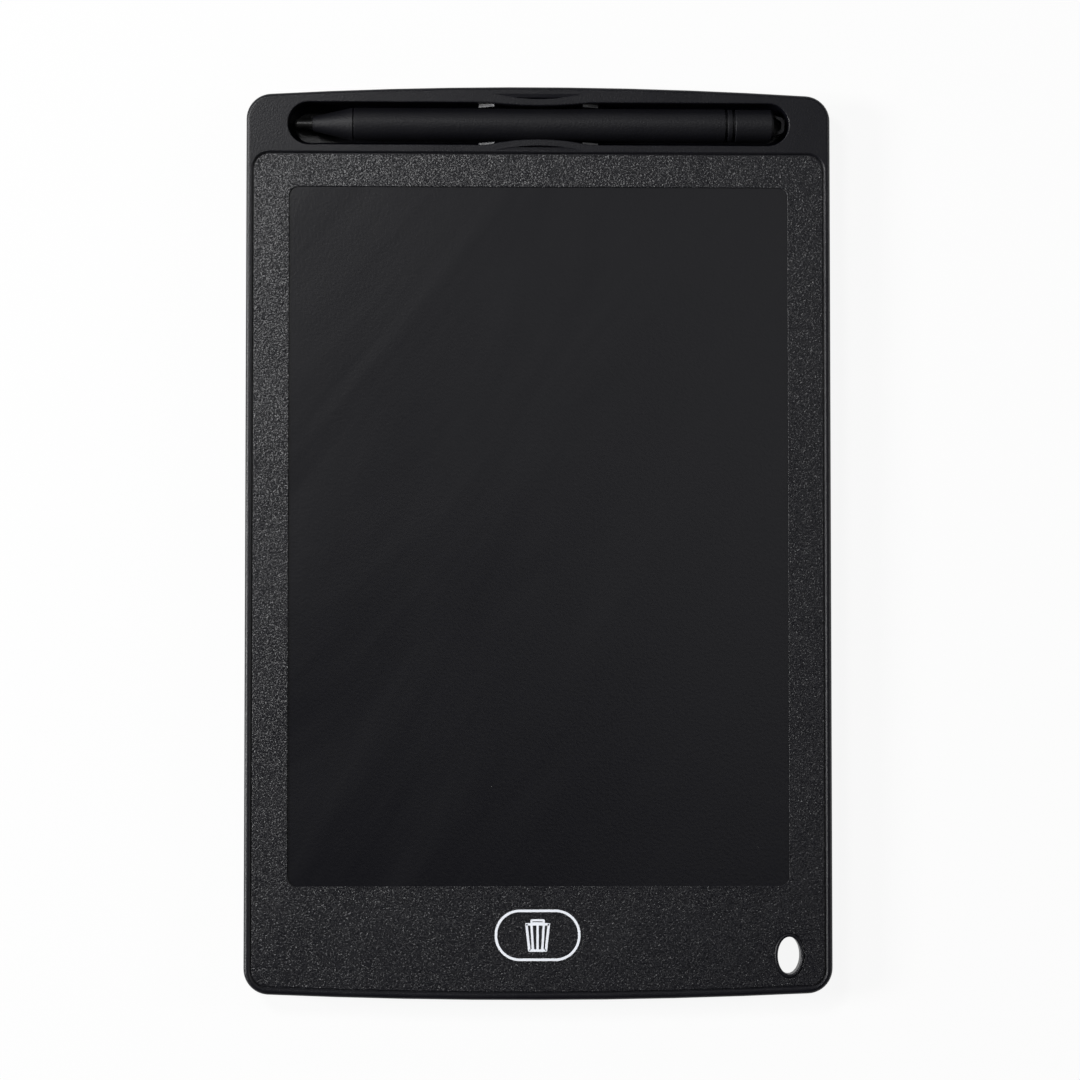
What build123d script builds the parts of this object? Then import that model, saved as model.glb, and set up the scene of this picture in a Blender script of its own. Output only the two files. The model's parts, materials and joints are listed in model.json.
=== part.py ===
from build123d import *
import os

# LCD writing tablet with a stylus tray, lying on its back: screen towards +Z, pen tray
# towards +Y. The origin is under the middle, at the foot of the ridge that holds the pen.

# Slab: the whole housing seen from the front
slab_length = 226.0
slab_width = 145.0
slab_thickness = 5.2
ridge_height = 4.8
top_bow = 2.3
bottom_bow = 1.75
corner_radius = 6.3
face_edge_round = 0.9
back_edge_bevel = 1.0
side_wall = 1.9
frame_skin = 1.0
cover_wall = 1.2
cover_rim = 2.0
cavity_corner = 3.0
overrun = 1.0

# Printed film that covers the front, with the screen window cut in it
film_side_margin = 2.0
film_bottom_margin = 2.1
film_top_margin = 17.0
film_corner = 3.7
film_drop = 0.3
film_thickness = 0.3
film_groove = 0.4
adhesive_thickness = 0.1
adhesive_inset = 0.5
bead_inner_bevel = 0.35
window_side_margin = 8.6
window_top_margin = 8.0
window_bottom_margin = 25.8
window_corner = 2.4

# Writing screen: two clear films with the liquid crystal layer between them
lcd_film_thickness = 0.3
lcd_overlap = 3.0
lcd_clearance = 0.15
lcd_corner = 1.0
lcd_end_wall = 1.25

# Pen tray and its two spring clips
tray_margin = 9.25
tray_side_margin = 10.2
tray_width = 10.6
tray_floor = 1.5
tray_floor_bevel = 1.6
tray_edge_bevel = 0.15
tray_wall = 1.5
cavity_to_tray = 2.45
ridge_draft = 12.0
ridge_bevel = 0.9
clip_length = 25.8
clip_gap = 8.4
clip_shift = 0.35
clip_relief_length = 12.2
clip_relief_width = 12.4
clip_relief_depth = 1.5
clip_thickness = 1.6
clip_relief_slope = 0.9
clip_relief_fall = 0.2
clip_skirt_length = 17.0
clip_skirt_grip = 0.6
clip_bay_gap = 0.2
ramp_start = 11.0
ramp_length = 4.0
ramp_depth = 0.9
ramp_height = 2.2
cradle_width = 1.6
cradle_span = 7.2
cradle_height = 1.8
cradle_margin = 24.3
cradle_gap = 0.05

# Stylus
pen_diameter = 8.1
pen_seat_gap = 0.3
pen_tip_gap = 1.6
pen_end_gap = 0.8
barrel_wall = 0.95
pen_edge_chamfer = 0.15
nose_gap = 0.3
nose_length = 9.9
nose_tip_diameter = 3.6
spigot_length = 5.0
spigot_gap = 0.05
nib_diameter = 2.3
nib_length = 4.5
nib_shank_diameter = 1.8
nib_shank_length = 6.0
nib_shoulder = 0.6
neck_diameter = 7.0
ring_gap = 0.6
ring_width = 1.2
ring_diameter = 8.0
cap_gap = 0.7
cap_length = 9.5
cap_diameter = 8.0
cap_edge_bevel = 0.6
eyelet_reach = 2.9
eyelet_root_width = 6.0
eyelet_tip_width = 3.4
eyelet_wire = 0.75
eyelet_thickness = 1.4
eyelet_round = 1.4

# Erase key under the printed outline
erase_to_bottom = 15.9
pad_width = 21.9
pad_height = 13.4
pad_corner = 6.4
pad_gap = 0.06
key_inset = 0.3
key_gap = 0.15
key_thickness = 0.8
key_pocket_inset = 1.2
key_pocket_depth = 0.35
nub_diameter = 3.0

# Lanyard hole near the lower right corner
lanyard_side = 10.7
lanyard_bottom = 10.8
lanyard_width = 5.75
lanyard_height = 9.2
lanyard_wall = 1.1
collar_width = 0.85
collar_rise = 0.15
collar_bevel = 0.25
collar_gap = 0.1

# Circuit board in the lower band
board_length = 60.0
board_width = 15.0
board_thickness = 0.6
board_rise = 0.6
board_to_cell = 6.0
board_shift_y = -2.6
board_corner = 0.8
boss_diameter = 3.6
boss_margin_x = 4.0
boss_margin_y = 2.7
screw_diameter = 1.4
screw_clearance = 0.1
screw_head_diameter = 2.4
screw_head_height = 0.45
screw_length = 2.2
screw_blind = 0.3
drive_recess_width = 0.4
drive_recess_length = 1.5
drive_recess_depth = 0.25

# Parts soldered to the board; their places along it are shares of its length
switch_size = 4.4
switch_body_height = 0.65
switch_base = 0.1
switch_cover_height = 0.1
switch_chamber_diameter = 3.4
plunger_diameter = 1.6
plunger_gap = 0.15
plunger_flange_diameter = 3.0
plunger_flange_height = 0.15
plunger_rise = 0.35
chip_length = 5.0
chip_width = 3.9
chip_height = 1.0
chip_pins = 4
chip_pitch = 1.27
chip_pin_width = 0.4
chip_pin_reach = 1.0
chip_pin_height = 0.25
chip_share = 0.517
chip_shift_y = -4.5
coil_size = 3.0
coil_height = 1.0
coil_corner = 0.6
coil_groove = 0.35
coil_share = 0.642
coil_shift_y = -4.5
capacitor_length = 1.6
capacitor_width = 0.8
capacitor_height = 0.8
capacitor_pitch = 2.2
capacitor_count = 4
capacitor_share = 0.467
capacitor_shift_y = 3.5
resistor_length = 1.6
resistor_width = 0.8
resistor_height = 0.45
resistor_pitch = 2.2
resistor_count = 3
resistor_share = 0.15
resistor_shift_y = -6.0
diode_length = 2.7
diode_width = 1.6
diode_height = 0.9
diode_share = 0.717
diode_shift_y = -6.5

# Ribbon from the screen to the board, and the bar that clamps it
tail_share = 0.7
tail_width = 8.0
tail_thickness = 0.15
tail_run = 1.6
tail_fall = 2.2
tail_landing = 3.6
tail_bend = 0.5
tail_slot_gap = 0.4
tail_slot_length = 4.4
clamp_length = 10.0
clamp_width = 1.8
clamp_height = 0.5

# Screen lock: slide switch on the board, thumb slider in the back
lock_share = 0.867
lock_shift_y = -2.6
lock_travel = 2.0
lock_body_length = 6.6
lock_body_width = 3.0
lock_body_height = 1.0
lock_body_wall = 0.4
lever_size = 1.2
lever_gap = 0.1
lever_top_gap = 0.3
slider_length = 5.6
slider_width = 3.6
slider_cap_height = 0.5
slider_recess = 0.05
slider_gap = 0.15
slider_neck_length = 3.0
slider_neck_width = 2.0
slider_foot_length = 4.6
slider_foot_width = 3.2
slider_foot_height = 0.3
slider_foot_gap = 0.05
slider_pocket_depth = 0.6
grip_groove = 0.5
grip_pitch = 1.1
grip_count = 4
grip_depth = 0.2

# Coin cell and its two contacts
cell_diameter = 20.0
cell_height = 1.6
cell_shift_x = -34.0
cell_shift_y = -0.9
cell_skin = 0.25
cell_seal = 0.6
cell_rest_gap = 0.05
cell_well_gap = 0.3
well_wall = 0.8
contact_thickness = 0.2
contact_width = 3.0
contact_spread = 2.0
contact_gap = 0.05
contact_bend = 0.4
contact_landing = 3.0
contact_rise = 0.3
leaf_overhang = 2.5

# Battery door, its tongues and its screw
door_lip = 0.65
door_ledge = 0.8
door_gap = 0.15
door_screw_bay = 6.0
door_corner = 1.5
tongue_width = 4.0
tongue_reach = 1.5
tongue_height = 0.55
tongue_root = 1.0
tongue_spread = 15.0
door_screw_shift_y = -6.5
door_boss_diameter = 4.4
door_screw_head_diameter = 2.8
door_screw_head_height = 0.55
door_screw_length = 2.8
door_screw_clearance = 0.3
door_notch_width = 6.0
door_notch_depth = 0.3
door_notch_length = 1.6

# Ribs that carry the screen bed, and the snap tabs that hold the housing shut
rib_width = 1.2
rib_columns = 5
rib_rows = 6
rib_margin = 6.0
snap_length = 10.0
snap_thickness = 0.9
snap_gap = 0.1
snap_top_gap = 0.15
snap_bite = 0.35
snap_bite_gap = 0.1
snap_lead = 0.35
snap_rows = 4
snap_margin = 20.0

# Heights, from the back of the slab to its face
back_z = ridge_height
floor_z = back_z + cover_wall
parting_z = back_z + cover_rim
face_z = back_z + slab_thickness
film_top_z = face_z - film_drop
film_z = film_top_z - film_thickness
ledge_z = film_z - adhesive_thickness
lcd_front_z = ledge_z - lcd_film_thickness
lcd_z = lcd_front_z - lcd_film_thickness
bed_z = lcd_z - frame_skin
band_z = ledge_z - frame_skin
board_z = floor_z + board_rise
board_top_z = board_z + board_thickness
pen_z = tray_floor + pen_seat_gap + pen_diameter / 2

# Places in the plane of the face
half_length = slab_length / 2
half_width = slab_width / 2
film_half = half_width - film_side_margin
film_top_y = half_length - film_top_margin
film_bottom_y = film_bottom_margin - half_length
window_top_y = film_top_y - window_top_margin
window_length = window_top_y - film_bottom_y - window_bottom_margin
window_width = 2 * (film_half - window_side_margin)
window_y = window_top_y - window_length / 2
lcd_length = window_length + 2 * lcd_overlap
lcd_bottom_y = window_y - lcd_length / 2
band_top_y = lcd_bottom_y - lcd_clearance - lcd_end_wall
tray_y = half_length - tray_margin
tray_length = slab_width - 2 * tray_side_margin
pen_y = tray_y + clip_shift
cavity_half = half_width - side_wall
cavity_bottom_y = side_wall - half_length
cavity_top_y = tray_y - tray_width / 2 - cavity_to_tray
erase_y = erase_to_bottom - half_length
lanyard_x = half_width - lanyard_side
lanyard_y = lanyard_bottom - half_length
cell_y = erase_y + cell_shift_y
cell_x = cell_shift_x
board_y = erase_y + board_shift_y
board_left_x = cell_x + cell_diameter / 2 + board_to_cell
board_right_x = board_left_x + board_length
board_x = (board_left_x + board_right_x) / 2
tail_x = board_left_x + tail_share * board_length
lock_x = board_left_x + lock_share * board_length
cell_z = floor_z + cell_rest_gap
cell_top_z = cell_z + cell_height


def slab_face(height, inset):
    """Outline of the housing at a height: straight sides, bowed ends, round corners."""
    side = half_width - inset
    end = half_length - inset
    with BuildSketch(Plane.XY.offset(height)) as face:
        with BuildLine():
            top = ThreePointArc((-side, end - top_bow), (0, end), (side, end - top_bow))
            bottom = ThreePointArc((-side, bottom_bow - end), (0, -end), (side, bottom_bow - end))
            Line(top @ 0, bottom @ 0)
            Line(top @ 1, bottom @ 1)
        make_face()
        fillet(face.vertices(), corner_radius - inset)
    return face.sketch


def apron_face(height, side, top_y, bottom_y, corner):
    """Outline with a straight top edge and a bottom edge that bows as the housing does."""
    sag = bottom_bow * (side / half_width) ** 2
    with BuildSketch(Plane.XY.offset(height)) as face:
        with BuildLine():
            bottom = ThreePointArc((-side, bottom_y + sag), (0, bottom_y), (side, bottom_y + sag))
            Polyline(bottom @ 0, (-side, top_y), (side, top_y), bottom @ 1)
        make_face()
        fillet(face.vertices(), corner)
    return face.sketch


def film_face(height, grow):
    """Outline of the printed film, grown on every side."""
    return apron_face(height, film_half + grow, film_top_y + grow, film_bottom_y - grow, film_corner + grow)


def cavity_face(height, top_y):
    """Outline of the hollow inside the side walls, up to a straight top edge."""
    return apron_face(height, cavity_half, top_y, cavity_bottom_y, cavity_corner)


def window_face(height, grow, corner):
    """Rectangle on the screen's centre, grown from the window."""
    with BuildSketch(Plane.XY.offset(height)) as face:
        with Locations((0, window_y)):
            RectangleRounded(window_width + 2 * grow, window_length + 2 * grow, corner)
    return face.sketch


def tray_face(height, grow):
    """Stadium-shaped mouth of the pen tray."""
    with BuildSketch(Plane.XY.offset(height)) as face:
        with Locations((0, tray_y)):
            SlotOverall(tray_length + 2 * grow, tray_width + 2 * grow)
    return face.sketch


def pad_face(height, grow):
    """Long rounded outline of the erase key."""
    with BuildSketch(Plane.XY.offset(height)) as face:
        with Locations((0, erase_y)):
            RectangleRounded(pad_width + 2 * grow, pad_height + 2 * grow, pad_corner + grow)
    return face.sketch


def lanyard_face(height, grow):
    """Oval of the lanyard hole."""
    with BuildSketch(Plane.XY.offset(height)) as face:
        with Locations((lanyard_x, lanyard_y)):
            Ellipse(lanyard_width / 2 + grow, lanyard_height / 2 + grow)
    return face.sketch


def disc_face(height, x, y, diameter):
    """Round outline standing at a point."""
    with BuildSketch(Plane.XY.offset(height)) as face:
        with Locations((x, y)):
            Circle(diameter / 2)
    return face.sketch


def block_face(height, x, y, length, width):
    """Plain rectangle standing at a point."""
    with BuildSketch(Plane.XY.offset(height)) as face:
        with Locations((x, y)):
            Rectangle(length, width)
    return face.sketch


def mouth_face(height):
    """Mouth of the tray where the clips stand: the walls bulge in by two shallow arcs."""
    with BuildSketch(Plane((0, tray_y, height))) as face:
        SlotOverall(tray_length, tray_width)
        for side in (-1, 1):
            with BuildLine():
                bulge = ThreePointArc(
                    (-clip_length / 2, side * tray_width / 2),
                    (0, side * clip_gap / 2 + clip_shift),
                    (clip_length / 2, side * tray_width / 2),
                )
                Line(bulge @ 1, bulge @ 0)
            make_face(mode=Mode.SUBTRACT)
    return face.sketch


def clip_relief_face(height):
    """Thin lens behind each clip, which lets it bend away from the pen."""
    with BuildSketch(Plane((0, pen_y, height))) as face:
        with BuildLine():
            back = ThreePointArc(
                (-clip_relief_length / 2, clip_relief_width / 2),
                (0, clip_gap / 2 + clip_thickness),
                (clip_relief_length / 2, clip_relief_width / 2),
            )
            Line(back @ 1, back @ 0)
        make_face()
        mirror(about=Plane.XZ)
    return face.sketch


def clip_skirt_face(height):
    """Plan of the tall part of each clip, between its inner and outer arcs."""
    with BuildSketch(Plane((0, pen_y, height))) as face:
        for side in (-1, 1):
            root_y = side * tray_width / 2 - clip_shift
            back_y = side * clip_relief_width / 2
            with BuildLine():
                inner = ThreePointArc(
                    (-clip_length / 2, root_y), (0, side * clip_gap / 2), (clip_length / 2, root_y)
                )
                outer = ThreePointArc(
                    (clip_relief_length / 2, back_y),
                    (0, side * (clip_gap / 2 + clip_thickness)),
                    (-clip_relief_length / 2, back_y),
                )
                Line(inner @ 1, outer @ 0)
                Line(outer @ 1, inner @ 0)
            make_face()
        Rectangle(clip_skirt_length, clip_relief_width, mode=Mode.INTERSECT)
    return face.sketch


# Posts for the board and snap tabs, which tie the two halves together
boss_places = [
    (board_left_x + boss_margin_x, board_y - board_width / 2 + boss_margin_y),
    (board_right_x - boss_margin_x, board_y + board_width / 2 - boss_margin_y),
]
screw_pilot = screw_diameter / 2 + screw_clearance
snap_low_y = cavity_bottom_y + snap_margin
snap_pitch = (cavity_top_y - snap_margin - snap_low_y) / (snap_rows - 1)
snap_rows_y = [snap_low_y + row * snap_pitch for row in range(snap_rows)]
snap_x = cavity_half - snap_gap
snap_top_z = bed_z - snap_top_gap


def snap_face(y, bite, extra):
    """Cross-section of a pair of catches across the housing; extra opens it for their seats."""
    with BuildSketch(Plane.XZ.offset(-y)) as face:
        with BuildLine():
            Polyline(
                (snap_x, parting_z + snap_gap - extra),
                (snap_x + bite, parting_z + snap_gap + snap_lead / 2 - extra),
                (snap_x + bite, parting_z + snap_lead + extra),
                (snap_x, snap_top_z),
                close=True,
            )
        make_face()
        mirror(about=Plane.YZ)
    return face.sketch


# Front frame: rim bead, screen bed, tray mouth with its clips, key opening, lanyard collar
with BuildPart() as front_frame:
    extrude(slab_face(parting_z, 0), amount=face_z - parting_z)
    extrude(film_face(ledge_z, film_groove), amount=film_drop + film_thickness + overrun, mode=Mode.SUBTRACT)
    front_face = front_frame.faces().sort_by(Axis.Z)[-1]
    chamfer(front_face.inner_wires()[0].edges(), bead_inner_bevel)
    front_face = front_frame.faces().sort_by(Axis.Z)[-1]
    fillet(front_face.outer_wire().edges(), face_edge_round)

    # Bed for the screen, and the hollow behind it and behind the lower band
    extrude(
        window_face(lcd_z, lcd_overlap + lcd_clearance, lcd_corner),
        amount=ledge_z - lcd_z,
        mode=Mode.SUBTRACT,
    )
    extrude(cavity_face(parting_z, cavity_top_y), amount=bed_z - parting_z, mode=Mode.SUBTRACT)
    extrude(cavity_face(bed_z, band_top_y), amount=band_z - bed_z, mode=Mode.SUBTRACT)
    extrude(
        block_face(
            bed_z,
            tail_x,
            lcd_bottom_y - tail_slot_length / 2,
            tail_width + 2 * tail_slot_gap,
            tail_slot_length,
        ),
        amount=ledge_z - bed_z,
        mode=Mode.SUBTRACT,
    )

    # Mouth of the pen tray: the clips bulge into it, with a thin hollow behind each of them
    extrude(mouth_face(parting_z), amount=face_z - parting_z + overrun, mode=Mode.SUBTRACT)
    mouth_rim = front_frame.edges().group_by(Axis.Z)[-1].filter_by(
        lambda rim: abs(rim.center().Y - tray_y) < tray_width / 2 + tray_edge_bevel
    )
    chamfer(mouth_rim, tray_edge_bevel)
    extrude(
        clip_relief_face(face_z - clip_relief_depth),
        amount=clip_relief_depth + overrun,
        mode=Mode.SUBTRACT,
    )
    relief_edges = front_frame.edges().group_by(Axis.Z)[-1].filter_by(Axis.X).filter_by(
        lambda edge: abs(abs(edge.center().Y - pen_y) - clip_relief_width / 2) < clip_relief_fall
    )
    front_face = front_frame.faces().sort_by(Axis.Z)[-1]
    chamfer(relief_edges, clip_relief_slope, clip_relief_fall, reference=front_face)
    clip_foot_z = pen_z - clip_skirt_grip
    extrude(clip_skirt_face(clip_foot_z), amount=parting_z - clip_foot_z)
    for across in (-1, 1):
        for along in (-1, 1):
            with BuildSketch(Plane.XZ.offset(-tray_y - across * tray_width / 2)):
                with BuildLine():
                    Polyline(
                        (along * ramp_start, parting_z),
                        (along * ramp_start, parting_z + ramp_height),
                        (along * (ramp_start + ramp_length), parting_z),
                        close=True,
                    )
                make_face()
            extrude(amount=across * ramp_depth)

    # Posts that the circuit board is screwed to
    for post_x, post_y in boss_places:
        extrude(disc_face(board_top_z, post_x, post_y, boss_diameter), amount=band_z - board_top_z)
        extrude(
            disc_face(board_top_z, post_x, post_y, 2 * screw_pilot),
            amount=screw_length - board_thickness + screw_blind,
            mode=Mode.SUBTRACT,
        )

    # Opening for the erase key
    extrude(pad_face(band_z, key_gap), amount=frame_skin, mode=Mode.SUBTRACT)

    # Lanyard hole with its raised collar and inner tube
    extrude(lanyard_face(parting_z, lanyard_wall), amount=band_z - parting_z)
    extrude(lanyard_face(ledge_z, collar_width), amount=film_top_z + collar_rise - ledge_z)
    collar_top_z = film_top_z + collar_rise
    extrude(
        lanyard_face(parting_z, 0), amount=collar_top_z - parting_z, mode=Mode.SUBTRACT
    )
    collar_rim = front_frame.faces().filter_by(Axis.Z).filter_by(
        lambda rim: abs(rim.center().Z - collar_top_z) < collar_rise / 2
        and abs(rim.center().X - lanyard_x) < lanyard_width
    )
    chamfer(collar_rim.edges(), collar_bevel)

    # Seats for the catches of the snap tabs
    for snap_y in snap_rows_y:
        extrude(
            snap_face(snap_y, snap_bite + snap_bite_gap, snap_bite_gap),
            amount=snap_length / 2 + snap_bite_gap,
            both=True,
            mode=Mode.SUBTRACT,
        )
front_frame.part.label = "front_frame"


# Back cover: shallow shell with the pen ridge, battery opening, lock slot, ribs and snap tabs
door_left_x = cell_x - cell_diameter / 2 - cell_well_gap
door_right_x = cell_x + cell_diameter / 2 + cell_well_gap + door_screw_bay
door_half_y = cell_diameter / 2 + cell_well_gap + door_ledge
well_half_y = cell_diameter / 2 + cell_well_gap
well_right_x = cell_x + cell_diameter / 2 + cell_well_gap
door_screw_x = (well_right_x + door_right_x) / 2
door_screw_y = cell_y + door_screw_shift_y
lock_y = erase_y + lock_shift_y
slot_length = slider_neck_length + lock_travel + 2 * slider_gap
slot_width = slider_neck_width + 2 * slider_gap
slot_x = lock_x + lock_travel / 2
rib_span_x = 2 * (snap_x - snap_thickness - snap_bite)
rib_low_y = cell_y + door_half_y + rib_margin
rib_high_y = cavity_top_y - rib_margin
rib_mid_y = (rib_low_y + rib_high_y) / 2
rib_span_y = rib_high_y - rib_low_y

with BuildPart() as trough:
    extrude(tray_face(tray_floor, 0), amount=parting_z - tray_floor)
    chamfer(trough.edges().group_by(Axis.Z)[0], tray_floor_bevel)

with BuildPart() as back_cover:
    extrude(slab_face(back_z, 0), amount=parting_z - back_z)
    chamfer(back_cover.edges().group_by(Axis.Z)[0], back_edge_bevel)
    extrude(tray_face(back_z, tray_wall), amount=-ridge_height, taper=ridge_draft)
    chamfer(back_cover.faces().sort_by(Axis.Z)[0].edges(), ridge_bevel)
    extrude(cavity_face(floor_z, cavity_top_y), amount=parting_z - floor_z, mode=Mode.SUBTRACT)

    # Trough of the pen tray, with room for the clips and two low cradles hidden under the pen
    add(trough.part, mode=Mode.SUBTRACT)
    clip_bay_z = pen_z - clip_skirt_grip - clip_bay_gap
    extrude(
        block_face(
            clip_bay_z,
            0,
            pen_y,
            clip_skirt_length + 2 * clip_bay_gap,
            clip_relief_width + 2 * clip_bay_gap,
        ),
        amount=parting_z - clip_bay_z,
        mode=Mode.SUBTRACT,
    )

    for side in (-1, 1):
        cradle_x = side * (tray_length / 2 - cradle_margin)
        extrude(
            block_face(tray_floor, cradle_x, pen_y, cradle_width, cradle_span),
            amount=cradle_height,
        )
        with BuildSketch(Plane.YZ.offset(cradle_x - cradle_width / 2)):
            with Locations((pen_y, pen_z)):
                Circle(pen_diameter / 2 + cradle_gap)
        extrude(amount=cradle_width, mode=Mode.SUBTRACT)

    # Ribs under the screen bed
    with BuildSketch(Plane.XY.offset(floor_z)):
        with Locations((0, rib_mid_y)):
            with GridLocations(rib_span_x / rib_columns, 0, rib_columns, 1):
                Rectangle(rib_width, rib_span_y)
            with GridLocations(0, rib_span_y / rib_rows, 1, rib_rows):
                Rectangle(rib_span_x, rib_width)
    extrude(amount=bed_z - floor_z)

    # Snap tabs along both sides
    for snap_y in snap_rows_y:
        for side in (-1, 1):
            extrude(
                block_face(
                    floor_z, side * (snap_x - snap_thickness / 2), snap_y, snap_thickness, snap_length
                ),
                amount=snap_top_z - floor_z,
            )
        extrude(
            snap_face(snap_y, snap_bite, 0),
            amount=snap_length / 2,
            both=True,
        )

    # Battery opening: a wide outer step for the door's lip, a narrow inner step for the cell
    with BuildSketch(Plane.XY.offset(back_z)):
        with Locations(((door_left_x + door_right_x) / 2, cell_y)):
            RectangleRounded(door_right_x - door_left_x, 2 * door_half_y, door_corner)
    extrude(amount=door_lip + door_gap, mode=Mode.SUBTRACT)
    with BuildSketch(Plane.XY.offset(back_z)):
        with Locations(((door_left_x + well_right_x) / 2, cell_y)):
            Rectangle(well_right_x - door_left_x, 2 * well_half_y)
    extrude(amount=cover_wall, mode=Mode.SUBTRACT)

    # Walls of the battery well, open towards the contacts and the tongues
    with BuildSketch(Plane.XY.offset(floor_z)):
        with Locations((cell_x, cell_y)):
            with GridLocations(0, 2 * well_half_y + well_wall, 1, 2):
                Rectangle(cell_diameter, well_wall)
    extrude(amount=cell_height)

    # Boss for the door's screw
    extrude(
        disc_face(back_z + door_lip + door_gap, door_screw_x, door_screw_y, door_boss_diameter),
        amount=band_z - back_z - door_lip - door_gap,
    )
    extrude(
        disc_face(back_z, door_screw_x, door_screw_y, screw_diameter + 2 * door_screw_clearance),
        amount=door_screw_length + door_lip,
        mode=Mode.SUBTRACT,
    )

    # Pocket and slot for the lock slider
    extrude(
        block_face(
            back_z,
            slot_x,
            lock_y,
            slider_length + lock_travel + 2 * slider_gap,
            slider_width + 2 * slider_gap,
        ),
        amount=slider_pocket_depth,
        mode=Mode.SUBTRACT,
    )
    extrude(
        block_face(back_z, slot_x, lock_y, slot_length, slot_width),
        amount=cover_wall,
        mode=Mode.SUBTRACT,
    )

    # Lanyard tube
    extrude(lanyard_face(floor_z, lanyard_wall), amount=parting_z - floor_z)
    extrude(lanyard_face(back_z, 0), amount=parting_z - back_z, mode=Mode.SUBTRACT)
back_cover.part.label = "back_cover"


# Printed film, with the window, the erase pad and the lanyard hole cut out
with BuildPart() as bezel_film:
    extrude(film_face(film_z, 0), amount=film_thickness)
    extrude(window_face(film_z, 0, window_corner), amount=film_thickness, mode=Mode.SUBTRACT)
    extrude(pad_face(film_z, pad_gap), amount=film_thickness, mode=Mode.SUBTRACT)
    extrude(lanyard_face(film_z, collar_width + collar_gap), amount=film_thickness, mode=Mode.SUBTRACT)
bezel_film.part.label = "bezel_film"

with BuildPart() as film_adhesive:
    extrude(film_face(ledge_z, -adhesive_inset), amount=adhesive_thickness)
    extrude(
        window_face(ledge_z, adhesive_inset, window_corner), amount=adhesive_thickness, mode=Mode.SUBTRACT
    )
    extrude(pad_face(ledge_z, adhesive_inset), amount=adhesive_thickness, mode=Mode.SUBTRACT)
    extrude(
        lanyard_face(ledge_z, collar_width + adhesive_inset),
        amount=adhesive_thickness,
        mode=Mode.SUBTRACT,
    )
film_adhesive.part.label = "film_adhesive"


# Erase pad, the patch of film inside the printed outline, and the key under it
with BuildPart() as erase_pad:
    extrude(pad_face(film_z, 0), amount=film_thickness)
erase_pad.part.label = "erase_pad"

key_z = film_z - key_thickness
switch_cover_z = board_top_z + switch_body_height
plunger_top_z = switch_cover_z + switch_cover_height + plunger_rise
with BuildPart() as erase_key:
    extrude(pad_face(key_z, -key_inset), amount=key_thickness)
    extrude(pad_face(key_z, -key_pocket_inset), amount=key_pocket_depth, mode=Mode.SUBTRACT)
    extrude(
        disc_face(plunger_top_z, 0, erase_y, nub_diameter),
        amount=key_z + key_pocket_depth - plunger_top_z,
    )
erase_key.part.label = "erase_key"


# Writing screen: the front film takes the pen, the rear film carries the ribbon
with BuildPart() as lcd_front_film:
    extrude(window_face(lcd_front_z, lcd_overlap, lcd_corner), amount=lcd_film_thickness)
lcd_front_film.part.label = "lcd_front_film"

with BuildPart() as lcd_rear_film:
    extrude(window_face(lcd_z, lcd_overlap, lcd_corner), amount=lcd_film_thickness)
lcd_rear_film.part.label = "lcd_rear_film"

tail_mid_z = lcd_z + lcd_film_thickness / 2
tail_low_z = board_top_z + tail_thickness / 2
tail_end_y = lcd_bottom_y - tail_run - tail_fall - tail_landing
with BuildPart() as lcd_ribbon:
    with BuildSketch(Plane.YZ.offset(tail_x)):
        with BuildLine() as ribbon_path:
            FilletPolyline(
                (lcd_bottom_y, tail_mid_z),
                (lcd_bottom_y - tail_run, tail_mid_z),
                (lcd_bottom_y - tail_run - tail_fall, tail_low_z),
                (tail_end_y, tail_low_z),
                radius=tail_bend,
            )
        trace(ribbon_path.line, line_width=tail_thickness)
    extrude(amount=tail_width / 2, both=True)
lcd_ribbon.part.label = "lcd_ribbon"

clamp_y = tail_end_y + tail_landing / 2
with BuildPart() as ribbon_clamp:
    extrude(
        block_face(board_top_z + tail_thickness, tail_x, clamp_y, clamp_length, clamp_width),
        amount=clamp_height,
    )
    with BuildSketch(Plane.XY.offset(board_top_z)):
        with Locations((tail_x, clamp_y)):
            with GridLocations((clamp_length + tail_width) / 2, 0, 2, 1):
                Rectangle((clamp_length - tail_width) / 2, clamp_width)
    extrude(amount=tail_thickness)
ribbon_clamp.part.label = "ribbon_clamp"


# Circuit board and the screws that hold it to the front frame
with BuildPart() as circuit_board:
    with BuildSketch(Plane.XY.offset(board_z)):
        with Locations((board_x, board_y)):
            RectangleRounded(board_length, board_width, board_corner)
        with Locations((slot_x, lock_y)):
            Rectangle(
                lever_size + lock_travel + 2 * slider_gap, lever_size + 2 * slider_gap, mode=Mode.SUBTRACT
            )
        with Locations(boss_places):
            Circle(screw_pilot, mode=Mode.SUBTRACT)
    extrude(amount=board_thickness)
circuit_board.part.label = "circuit_board"

with BuildPart() as board_screws:
    with Locations(*[(x, y, board_z) for x, y in boss_places]):
        Cylinder(
            screw_head_diameter / 2, screw_head_height, align=(Align.CENTER, Align.CENTER, Align.MAX)
        )
        Cylinder(screw_diameter / 2, screw_length, align=(Align.CENTER, Align.CENTER, Align.MIN))
    for turn in (0, 1):
        with BuildSketch(Plane.XY.offset(board_z - screw_head_height)):
            with Locations(boss_places):
                Rectangle(drive_recess_length, drive_recess_width, rotation=90 * turn)
        extrude(amount=drive_recess_depth, mode=Mode.SUBTRACT)
board_screws.part.label = "board_screws"


# Erase switch: moulded body, metal cover, plunger that carries the key
with BuildPart() as switch_body:
    extrude(block_face(board_top_z, 0, erase_y, switch_size, switch_size), amount=switch_body_height)
    extrude(
        disc_face(board_top_z + switch_base, 0, erase_y, switch_chamber_diameter),
        amount=switch_body_height - switch_base,
        mode=Mode.SUBTRACT,
    )
switch_body.part.label = "switch_body"

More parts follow.
